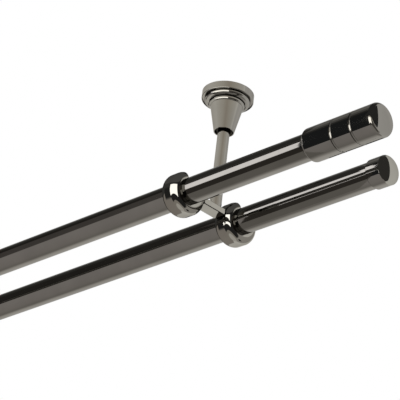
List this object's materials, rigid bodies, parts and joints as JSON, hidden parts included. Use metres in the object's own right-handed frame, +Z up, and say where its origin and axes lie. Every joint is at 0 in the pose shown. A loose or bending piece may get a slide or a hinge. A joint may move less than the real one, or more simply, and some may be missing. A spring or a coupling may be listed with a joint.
{
  "type": "double curtain pole",
  "caption": "Ceiling-fixed double curtain pole: parallel tubes in open cradles on stemmed brackets, with grooved finials and rounded end caps.",
  "frame": {"origin": "middle of the right bracket's ceiling face, between its two screw holes", "axes": "+X along the poles toward the right end, -Y toward the room and the front pole, +Z up into the ceiling"},
  "size_m": [1.308, 0.1116, 0.15],
  "materials": {
    "pole_tube": "polished dark nickel",
    "turned_ends": "polished dark nickel",
    "bracket_metal": "polished dark nickel",
    "screw_steel": "plain steel",
    "plated_steel": "zinc plated"
  },
  "bodies": {
    "root": {"back_pole": "pole_tube", "front_pole": "pole_tube", "left_arm": "bracket_metal", "left_back_cradle": "bracket_metal", "left_back_cradle_screw": "screw_steel", "left_ceiling_plate": "plated_steel", "left_end_cap": "turned_ends", "left_finial": "turned_ends", "left_finial_grub_screw": "screw_steel", "left_front_cradle": "bracket_metal", "left_front_cradle_screw": "screw_steel", "left_rose_cover": "bracket_metal", "left_rose_grub_screw": "screw_steel", "left_stem": "bracket_metal", "right_arm": "bracket_metal", "right_back_cradle": "bracket_metal", "right_back_cradle_screw": "screw_steel", "right_ceiling_plate": "plated_steel", "right_end_cap": "turned_ends", "right_finial": "turned_ends", "right_finial_grub_screw": "screw_steel", "right_front_cradle": "bracket_metal", "right_front_cradle_screw": "screw_steel", "right_rose_cover": "bracket_metal", "right_rose_grub_screw": "screw_steel", "right_stem": "bracket_metal"}
  },
  "joints": []
}
